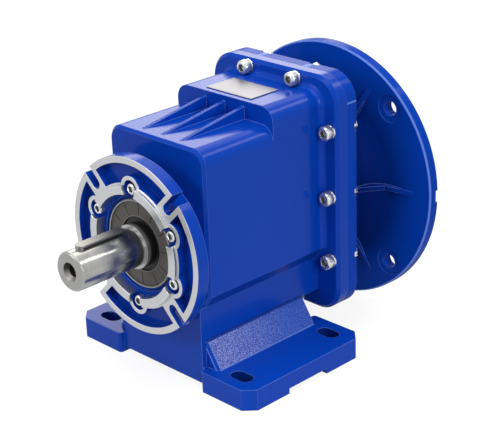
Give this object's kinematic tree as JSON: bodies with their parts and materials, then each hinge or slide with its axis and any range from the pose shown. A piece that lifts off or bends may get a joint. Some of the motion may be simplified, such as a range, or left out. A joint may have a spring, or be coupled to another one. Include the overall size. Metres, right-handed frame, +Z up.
{
  "type": "spur gearbox",
  "caption": "Foot-mounted in-line spur gearbox: keyed output shaft through a slotted ring face, ribbed rectangular case with a bolted split, and a round flange behind for a motor.",
  "frame": {"origin": "centre of the four foot slots, on the foot plane under the shaft axis", "axes": "+Z up, the output shaft points along -Y and the motor flange faces +Y, +X completes the right-handed frame"},
  "size_m": [0.25, 0.328, 0.255],
  "materials": {
    "blue_paint": "gloss enamel over die-cast aluminium, machined bare on the output face",
    "ground_steel": "ground",
    "gear_steel": "hobbed and hardened, oiled",
    "bearing_steel": "polished rings, bright shields",
    "spring_steel": "black oxide",
    "zinc_steel": "bright zinc plate",
    "seal_rubber": "moulded matt black",
    "plate_aluminium": "plain satin plate, left blank"
  },
  "bodies": {
    "housing": {"gear_case": "blue_paint", "motor_flange": "blue_paint", "output_bearing_cap": "blue_paint", "cap_screws": "zinc_steel", "output_seal": "seal_rubber", "input_seal": "seal_rubber", "output_front_bearing_outer_ring": "bearing_steel", "output_inner_bearing_outer_ring": "bearing_steel", "countershaft_front_bearing_outer_ring": "bearing_steel", "countershaft_rear_bearing_outer_ring": "bearing_steel", "input_front_bearing_outer_ring": "bearing_steel", "input_rear_bearing_outer_ring": "bearing_steel", "input_outer_spacer": "ground_steel", "input_housing_circlip": "spring_steel", "split_screws": "zinc_steel", "split_lock_washers": "zinc_steel", "split_nuts": "zinc_steel", "dowel_pins": "ground_steel", "nameplate": "plate_aluminium"},
    "output": {"output_shaft": "ground_steel", "output_key": "ground_steel", "output_gear": "gear_steel", "output_gear_key": "ground_steel", "output_gear_collar": "ground_steel", "output_gear_circlip": "spring_steel", "output_front_bearing_inner_ring": "bearing_steel", "output_inner_bearing_inner_ring": "bearing_steel"},
    "countershaft": {"countershaft": "ground_steel", "countershaft_gear": "gear_steel", "countershaft_key": "ground_steel", "countershaft_spacer": "ground_steel", "countershaft_front_bearing_inner_ring": "bearing_steel", "countershaft_rear_bearing_inner_ring": "bearing_steel"},
    "input": {"input_shaft": "ground_steel", "input_inner_spacer": "ground_steel", "input_shaft_circlip": "spring_steel", "input_front_bearing_inner_ring": "bearing_steel", "input_rear_bearing_inner_ring": "bearing_steel"}
  },
  "joints": [
    {"name": "output_spin", "type": "hinge", "parent": "housing", "child": "output", "pos_m": [0, -0.093, 0.13], "axis": [0, 1, 0], "continuous": true},
    {"name": "countershaft_spin", "type": "hinge", "parent": "housing", "child": "countershaft", "pos_m": [0, 0, 0.186], "axis": [0, 1, 0], "continuous": true},
    {"name": "input_spin", "type": "hinge", "parent": "housing", "child": "input", "pos_m": [0, 0.093, 0.13], "axis": [0, 1, 0], "continuous": true}
  ],
  "couplings": [
    {"joint": "countershaft_spin", "follows": "output_spin", "ratio": -3},
    {"joint": "input_spin", "follows": "output_spin", "ratio": 8.2}
  ]
}
